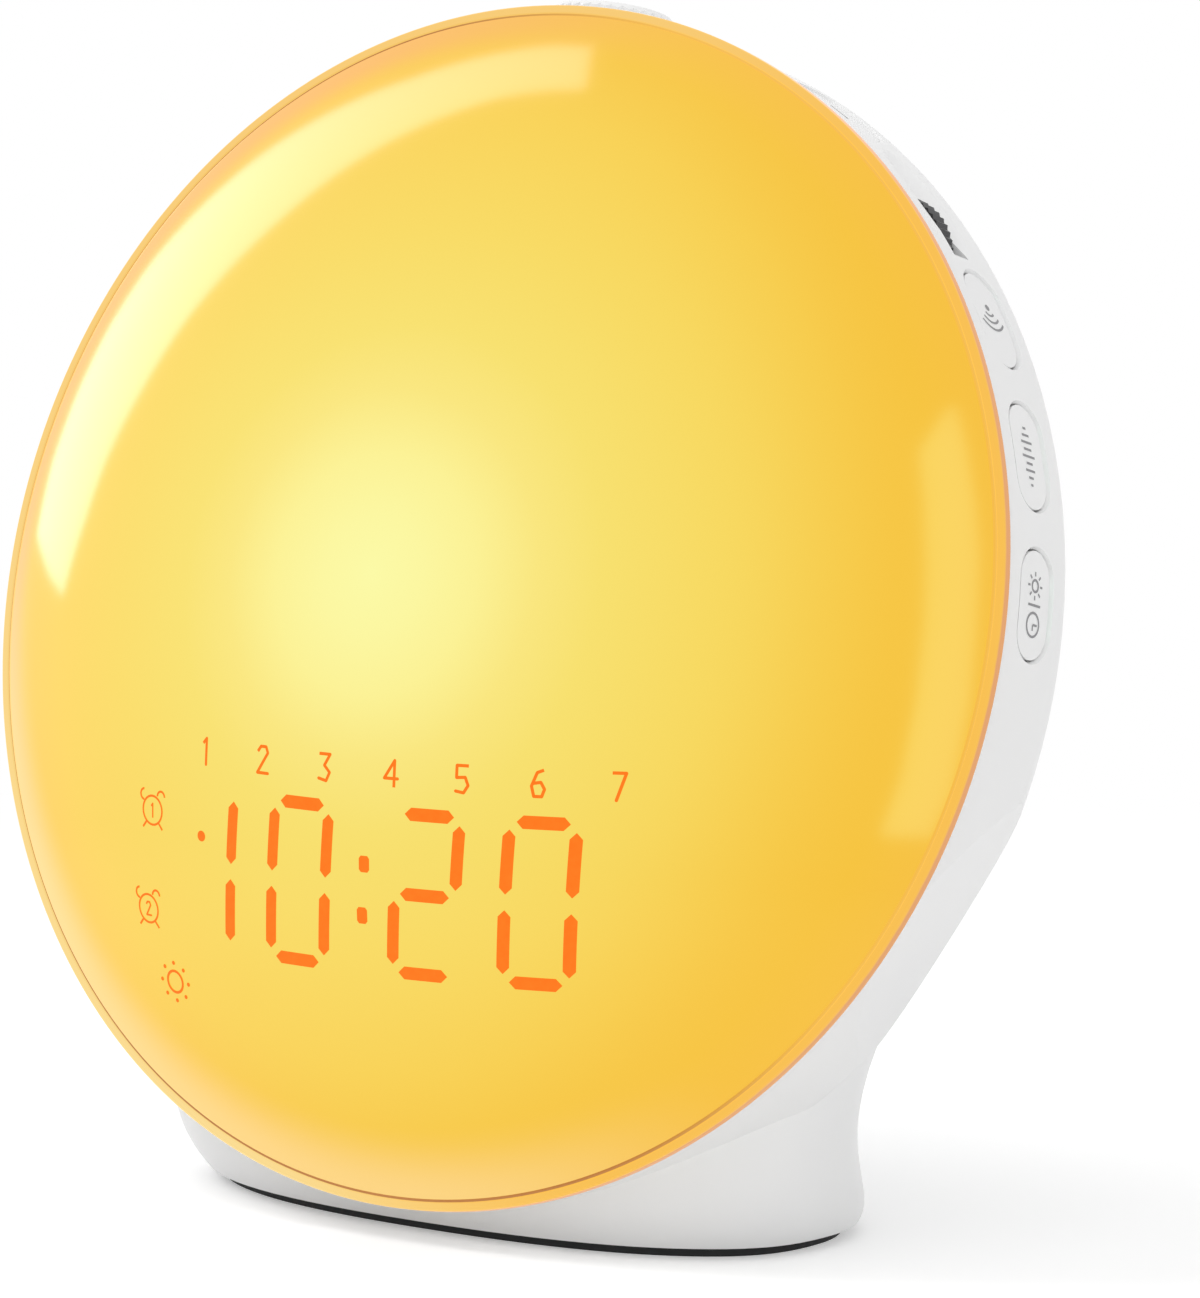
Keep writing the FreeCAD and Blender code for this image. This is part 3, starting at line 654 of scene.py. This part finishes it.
numeral_strokes = {
    1: (((-0.3, 0.6), (0.05, 1.0)), ((0.05, 1.0), (0.05, -1.0))),
    2: (((-0.5, 0.6), (-0.2, 1.0)), ((-0.2, 1.0), (0.3, 1.0)), ((0.3, 1.0), (0.5, 0.55)),
        ((0.5, 0.55), (-0.5, -1.0)), ((-0.5, -1.0), (0.55, -1.0))),
    3: (((-0.5, 1.0), (0.5, 1.0)), ((0.5, 1.0), (0.0, 0.15)), ((0.0, 0.15), (0.5, -0.35)),
        ((0.5, -0.35), (0.2, -1.0)), ((0.2, -1.0), (-0.5, -0.85))),
    4: (((0.3, -1.0), (0.3, 1.0)), ((0.3, 1.0), (-0.55, -0.35)), ((-0.55, -0.35), (0.6, -0.35))),
    5: (((0.5, 1.0), (-0.45, 1.0)), ((-0.45, 1.0), (-0.45, 0.1)), ((-0.45, 0.1), (0.25, 0.15)),
        ((0.25, 0.15), (0.5, -0.45)), ((0.5, -0.45), (0.15, -1.0)), ((0.15, -1.0), (-0.5, -0.9))),
    6: (((0.4, 1.0), (-0.1, 0.8)), ((-0.1, 0.8), (-0.5, -0.2)), ((-0.5, -0.2), (-0.3, -0.95)),
        ((-0.3, -0.95), (0.3, -0.95)), ((0.3, -0.95), (0.5, -0.4)), ((0.5, -0.4), (0.2, 0.1)),
        ((0.2, 0.1), (-0.4, 0.0))),
    7: (((-0.5, 1.0), (0.5, 1.0)), ((0.5, 1.0), (-0.15, -1.0))),
}


def numeral(number, centre_u, centre_v, half_height, width):
    """Outlines of a plain number from 1 to 7, with rounded joints."""
    outlines = []
    for start, end in numeral_strokes[number]:
        first = (centre_u + start[0] * half_height, centre_v + start[1] * half_height)
        second = (centre_u + end[0] * half_height, centre_v + end[1] * half_height)
        outlines.append(stroke(first, second, width))
        outlines.append(disc(*second, width / 2, 8))
    return outlines


def bell_mark(number, centre_u, centre_v):
    """Small alarm mark: a round clock with two ears, two feet and a plain number."""
    outlines = ring(centre_u, centre_v, 0.00215, mark_stroke)
    for side in (-1, 1):
        ear = (centre_u + side * 0.0019, centre_v + 0.0022)
        outlines += ring(*ear, 0.0008, mark_stroke, 10, 45 - 45 * side, 180)
        foot = (centre_u + side * 0.0014, centre_v - 0.0018)
        toe = (foot[0] + side * 0.0008, foot[1] - 0.0009)
        outlines.append(stroke(foot, toe, mark_stroke))
    outlines += numeral(number, centre_u, centre_v, 0.001, fine_stroke)
    return outlines


def sun_mark(centre_u, centre_v):
    """Small sun: a ring with eight dots round it."""
    outlines = ring(centre_u, centre_v, 0.00165, 0.00042)
    for index in range(8):
        angle = math.radians(45 * index)
        u = centre_u + 0.0029 * math.cos(angle)
        v = centre_v + 0.0029 * math.sin(angle)
        outlines.append(disc(u, v, 0.00033, 10))
    return outlines


def make_print():
    """Everything that shines through the dome."""
    material = lit_print()
    time_outlines = []
    for character, centre in zip(shown_time, digit_centres):
        time_outlines += digit(character, centre)
    for side in (-1, 1):
        v = digit_line + side * colon_rise
        u = colon_centre + digit_slant * side * colon_rise
        time_outlines.append([(u + across, v + up) for across, up in colon_dot])
    day_outlines = []
    for index in range(7):
        u = day_row_start + index * day_pitch
        v = digit_line + day_row_rise
        day_outlines += numeral(index + 1, u, v, day_half_height, day_stroke)
    mark_outlines = bell_mark(1, *first_alarm_place)
    mark_outlines += bell_mark(2, *second_alarm_place)
    mark_outlines += sun_mark(*sun_place)
    mark_outlines.append(disc(*half_day_dot_place, half_day_dot_radius))
    for name, outlines in (("lit_digits", time_outlines), ("lit_day_numbers", day_outlines),
                           ("lit_marks", mark_outlines)):
        vertices, faces = printed(outlines)
        piece = new_piece(name, vertices, faces, material, "case", 60.0)


def on_key(angle, along, across, lift=0.00003):
    """Point on a key's face: along the wall and across it toward the back."""
    radius = wall_radius - key_set + lift
    turn = along / radius
    place = Vector((radius * math.sin(turn), key_depth + across, radius * math.cos(turn)))
    return head_matrix(angle) @ place


def key_mark(kind):
    """Generic marks for the keys, drawn along and across the key."""
    reach = 0.0018
    outlines = []
    if kind == "plus":
        outlines.append(stroke((-reach, 0), (reach, 0), mark_stroke))
        outlines.append(stroke((0, -reach), (0, reach), mark_stroke))
    elif kind == "minus":
        outlines.append(stroke((-reach, 0), (reach, 0), mark_stroke))
    elif kind == "waves":
        outlines.append(disc(-reach, 0, 0.0005, 12))
        for index in range(3):
            outlines += ring(-reach, 0, 0.0013 + index * 0.0011, mark_stroke, 10, -50, 100)
    elif kind == "sound":
        for index, height in enumerate(sound_heights):
            along = (index - 4) * 0.001
            outlines.append(stroke((along, -height / 2), (along, height / 2), mark_stroke))
    elif kind == "sun":
        outlines += rays(0, 0)
    elif kind == "sun and clock":
        outlines += rays(-0.0026, 0)
        outlines += dial(0.0026, 0)
        outlines.append(stroke((0, -0.0016), (0, 0.0016), mark_stroke))
    elif kind == "moon":
        outlines += ring(0, 0, 0.0016, mark_stroke * 1.4, 18, 60, 240)
    else:
        outlines += dial(0, 0)
    return outlines


def rays(along, across):
    """Small sun with eight straight rays."""
    outlines = ring(along, across, 0.0008, mark_stroke, 20)
    for index in range(8):
        angle = math.radians(45 * index)
        near = (along + 0.0013 * math.cos(angle), across + 0.0013 * math.sin(angle))
        far = (along + 0.0019 * math.cos(angle), across + 0.0019 * math.sin(angle))
        outlines.append(stroke(near, far, fine_stroke))
    return outlines


def dial(along, across):
    """Small clock face with two hands."""
    outlines = ring(along, across, 0.0016, mark_stroke, 24)
    outlines.append(stroke((along, across), (along, across + 0.0011), fine_stroke))
    outlines.append(stroke((along, across), (along + 0.0008, across), fine_stroke))
    return outlines


def make_key_marks():
    """Grey marks that ride the keys."""
    material = grey_print()
    marks = {}
    for number, kind in enumerate(("plus", "minus", "waves", "sound", "sun and clock"), 1):
        marks["right_key_%d" % number] = (right_key_angles[number - 1], kind)
    for number, kind in enumerate(("moon", "sun", "clock", "clock"), 1):
        marks["left_key_%d" % number] = (left_key_angles[number - 1], kind)
    for key, (angle, kind) in marks.items():
        vertices = []
        faces = []
        for outline in key_mark(kind):
            faces.append(list(range(len(vertices), len(vertices) + len(outline))))
            vertices += [on_key(angle, along, across) for along, across in outline]
        piece = new_piece(key + "_mark", vertices, faces, material, key, 60.0)


# Painted shade of the screw recesses

def recess_shade_tree(material):
    """Node tree that sets a thin dark cross of painted shade on every point and turns it to face a
    given way.
    """
    tree = bpy.data.node_groups.new("screw_crosses", "GeometryNodeTree")
    tree.interface.new_socket("Geometry", in_out="INPUT", socket_type="NodeSocketGeometry")
    sockets = {}
    for name, kind in (("Length", "NodeSocketFloat"), ("Width", "NodeSocketFloat"),
                       ("Depth", "NodeSocketFloat"), ("Facing", "NodeSocketVector")):
        sockets[name] = tree.interface.new_socket(name, in_out="INPUT", socket_type=kind).identifier
    tree.interface.new_socket("Geometry", in_out="OUTPUT", socket_type="NodeSocketGeometry")
    given = tree.nodes.new("NodeGroupInput")
    result = tree.nodes.new("NodeGroupOutput")

    def made(kind, **links):
        node = tree.nodes.new(kind)
        for name, socket in links.items():
            tree.links.new(socket, node.inputs[name.replace("_", " ")])
        return node

    bars = tree.nodes.new("GeometryNodeJoinGeometry")
    for first, second in (("Length", "Width"), ("Width", "Length")):
        size = made("ShaderNodeCombineXYZ", X=given.outputs[first],
                    Y=given.outputs["Depth"], Z=given.outputs[second])
        cube = made("GeometryNodeMeshCube", Size=size.outputs[0])
        tree.links.new(cube.outputs["Mesh"], bars.inputs[0])
    placed = made("GeometryNodeInstanceOnPoints", Points=given.outputs["Geometry"],
                  Instance=bars.outputs[0], Rotation=given.outputs["Facing"])
    real = made("GeometryNodeRealizeInstances", Geometry=placed.outputs[0])
    painted = made("GeometryNodeSetMaterial", Geometry=real.outputs[0])
    painted.inputs["Material"].default_value = material
    tree.links.new(painted.outputs[0], result.inputs[0])
    return tree, sockets


def make_screw_recess_shade(material):
    """Thin dark crosses on the heads of the rear cover's screws: painted shade in place of their
    cross recesses.
    """
    points = []
    for angle in (45, 135, 225, 315):
        u = cover_screw_circle * math.sin(math.radians(angle))
        v = cover_screw_circle * math.cos(math.radians(angle)) + cover_lift
        seat = back_depth_at(math.hypot(u, v), cover_screw_depth)
        points.append(head(u, seat + screw_head_height, v))
    mesh = bpy.data.meshes.new("cross_points")
    mesh.from_pydata([tuple(point) for point in points], [], [])
    holder = bpy.data.objects.new("cross_points", mesh)
    bpy.context.scene.collection.objects.link(holder)
    tree, sockets = recess_shade_tree(material)
    modifier = holder.modifiers.new("crosses", "NODES")
    modifier.node_group = tree
    modifier[sockets["Length"]] = cross_length
    modifier[sockets["Width"]] = cross_width
    modifier[sockets["Depth"]] = cross_sheet_thickness
    modifier[sockets["Facing"]] = (-lean, 0.0, 0.0)
    evaluated = holder.evaluated_get(bpy.context.evaluated_depsgraph_get())
    crosses = bpy.data.meshes.new_from_object(evaluated)
    crosses.name = "rear_screw_recess_shade"
    bpy.data.objects.remove(holder)
    piece = bpy.data.objects.new("rear_screw_recess_shade", crosses)
    bpy.context.scene.collection.objects.link(piece)
    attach(piece, "case")


def back_depth_at(radius, inset):
    """Depth of the domed back at a radius, under a skin."""
    return back_depth - back_curvature + math.sqrt((back_curvature - inset) ** 2 - radius ** 2)


# Finishes of the pieces that come from the frame

def dress_frame(black):
    """Give every piece of the frame the finish of its slot."""
    shell = white_shell()
    finishes = {
        "shell": shell,
        "dome": shell,
        "black_plastic": black,
        "wheel_plastic": speckled_plastic("wheel_moulding", (24, 24, 26), (44, 44, 47), 0.3),
        "white_inner": white_shell("inner_white"),
        "screw_steel": drawn_steel(),
        "ballast_steel": speckled_plastic("dark_steel", (52, 52, 54), (70, 70, 72), 0.5),
        "circuit_board": board_green(),
        "lamp": speckled_plastic("lamp_yellow", (226, 204, 120), (240, 220, 140), 0.3),
        "red_lamp": speckled_plastic("lamp_orange", (210, 80, 30), (230, 96, 40), 0.3),
        "speaker_paper": speckled_plastic("cone_paper", (24, 24, 24), (40, 40, 40), 0.7),
        "pad_rubber": speckled_plastic("pad_rubber", (18, 18, 19), (30, 30, 31), 0.65),
    }
    for entry in frame["record"]["subparts"]:
        mesh = frame["nodes"][entry["node"]].data
        finish = finishes[entry["material_slot"]]
        if not mesh.materials:
            mesh.materials.append(finish)
        for index in range(len(mesh.materials)):
            mesh.materials[index] = finish


# Room, lamps and camera

def backdrop_rays(finish):
    """1 for what the eye sees, straight, mirrored or through a clear piece, and else 0."""
    path = finish.node("ShaderNodeLightPath")
    straight = Value(finish, path.outputs["Is Camera Ray"])
    mirrored = Value(finish, path.outputs["Is Glossy Ray"])
    through = Value(finish, path.outputs["Is Transmission Ray"])
    return (straight + mirrored + through).clamped()


def make_floor():
    """Pale floor: it takes the shadow near the object and fades into the white backdrop."""
    square = ((-1, -1), (1, -1), (1, 1), (-1, 1))
    corners = [(floor_size * x, floor_size * y, 0) for x, y in square]
    mesh = bpy.data.meshes.new("floor")
    mesh.from_pydata(corners, [], [(0, 1, 2, 3)])
    finish = Finish("floor_white")
    speck = finish.noise(40.0, 2.0)
    tint = finish.mix(speck, (0.90, 0.90, 0.90, 1), (0.92, 0.92, 0.92, 1))
    finish.set(Base_Color=tint, Roughness=0.7, Specular_IOR_Level=0.1)
    x, y = finish.axes()[:2]
    away = (x * x + y * y).root().smooth(*floor_fade)
    plain = finish.shader.outputs[0]
    glow = finish.node("ShaderNodeEmission", {"Color": (1, 1, 1, 1), "Strength": floor_lift})
    lifted = finish.node("ShaderNodeAddShader", {0: plain, 1: glow.outputs[0]})
    white = finish.node("ShaderNodeEmission", {"Color": (1, 1, 1, 1), "Strength": 1.0})
    faded = finish.node("ShaderNodeMixShader", {0: away, 1: lifted.outputs[0], 2: white.outputs[0]})
    by_ray = {0: backdrop_rays(finish), 1: plain, 2: faded.outputs[0]}
    finish.surface(finish.node("ShaderNodeMixShader", by_ray))
    mesh.materials.append(finish.material)
    floor = bpy.data.objects.new("floor", mesh)
    bpy.context.scene.collection.objects.link(floor)


def make_world():
    """White backdrop to the eye, and a dimmer white room for the light."""
    world = bpy.data.worlds.new("studio")
    bpy.context.scene.world = world
    world.use_nodes = True
    tree = world.node_tree
    nodes = tree.nodes
    output = nodes["World Output"]
    room = nodes["Background"]
    room.inputs["Color"].default_value = (1, 1, 1, 1)
    room.inputs["Strength"].default_value = room_light
    white = nodes.new("ShaderNodeBackground")
    white.inputs["Color"].default_value = (1, 1, 1, 1)
    white.inputs["Strength"].default_value = 1.0
    path = nodes.new("ShaderNodeLightPath")
    backdrop = path.outputs["Is Camera Ray"]
    for ray in ("Is Glossy Ray", "Is Transmission Ray"):
        either = nodes.new("ShaderNodeMath")
        either.operation = "MAXIMUM"
        tree.links.new(backdrop, either.inputs[0])
        tree.links.new(path.outputs[ray], either.inputs[1])
        backdrop = either.outputs[0]
    mix = nodes.new("ShaderNodeMixShader")
    tree.links.new(backdrop, mix.inputs[0])
    tree.links.new(room.outputs[0], mix.inputs[1])
    tree.links.new(white.outputs[0], mix.inputs[2])
    tree.links.new(mix.outputs[0], output.inputs["Surface"])


def camera_forward():
    """Direction in which the camera looks."""
    return Vector((
        -math.sin(camera_yaw) * math.cos(camera_pitch),
        math.cos(camera_yaw) * math.cos(camera_pitch),
        -math.sin(camera_pitch),
    ))


def mirror_ray(across, down):
    """Point on the dome seen at a place in the picture, and the direction mirrored there."""
    forward = camera_forward()
    side = forward.cross(Vector((0, 0, 1))).normalized()
    upward = side.cross(forward)
    offset = side * (across - photo_width / 2) - upward * (down - photo_height / 2)
    ray = (forward * camera_focal_pixels + offset).normalized()
    start = Vector(camera_place)
    centre = head(0, dome_centre, 0)
    gap = start - centre
    half = gap.dot(ray)
    rest = half * half - gap.dot(gap) + dome_curvature ** 2
    place = start + ray * (-half - math.sqrt(max(rest, 0.0)))
    normal = (place - centre).normalized()
    return place, ray - normal * (2 * ray.dot(normal))


def reflected_panel(name, outer, inner, distance, colour, strength):
    """Bright curved panel whose mirror image lies on the dome between two edges of the picture."""
    vertices = []
    for edge in (outer, inner):
        for across, down in edge:
            place, direction = mirror_ray(across, down)
            vertices.append(place + direction * distance)
    count = len(outer)
    faces = [(index, index + 1, count + index + 1, count + index) for index in range(count - 1)]
    mesh = bpy.data.meshes.new(name)
    mesh.from_pydata([tuple(vertex) for vertex in vertices], [], faces)
    finish = Finish(name)
    finish.surface(finish.node("ShaderNodeEmission", {"Color": colour, "Strength": strength}))
    mesh.materials.append(finish.material)
    panel = bpy.data.objects.new(name, mesh)
    bpy.context.scene.collection.objects.link(panel)
    panel.visible_camera = False
    panel.visible_diffuse = False


def softbox(name, azimuth, elevation, distance, side, power):
    """Square lamp that faces the middle of the dome."""
    target = head(0, 0, 0)
    turn = math.radians(azimuth)
    rise = math.radians(elevation)
    level = math.cos(rise)
    away = Vector((math.sin(turn) * level, -math.cos(turn) * level, math.sin(rise)))
    data = bpy.data.lights.new(name, "AREA")
    data.shape = "SQUARE"
    data.size = side
    data.energy = power
    lamp = bpy.data.objects.new(name, data)
    lamp.location = target + away * distance
    lamp.rotation_mode = "QUATERNION"
    lamp.rotation_quaternion = (-away).to_track_quat("-Z", "Y")
    lamp.visible_glossy = False
    bpy.context.scene.collection.objects.link(lamp)


def make_camera():
    data = bpy.data.cameras.new("camera")
    data.sensor_width = sensor_size
    data.lens = camera_focal_pixels / photo_height * sensor_size
    data.clip_start = 0.01
    data.clip_end = 50.0
    camera = bpy.data.objects.new("camera", data)
    camera.location = camera_place
    camera.rotation_mode = "QUATERNION"
    camera.rotation_quaternion = camera_forward().to_track_quat("-Z", "Y")
    bpy.context.scene.collection.objects.link(camera)
    bpy.context.scene.camera = camera


make_dome()
make_print()
make_key_marks()
# Black moulding of the frame, also the painted shade of the rear screw recesses
black_moulding_and_recess_shade = speckled_plastic("black_moulding_and_recess_shade", (22, 22, 24), (34, 34, 36), 0.42)
make_screw_recess_shade(black_moulding_and_recess_shade)
dress_frame(black_moulding_and_recess_shade)
make_floor()
make_world()
for lamp_settings in lamps:
    softbox(*lamp_settings)
reflected_panel("left_panel", left_outer, left_inner, 1.2, (1, 1, 1, 1), 4.0)
reflected_panel("right_panel", right_outer, right_inner, 0.9, (0.5, 1.0, 0.7, 1), 4.0)
make_camera()
bpy.context.scene.view_settings.view_transform = "Standard"
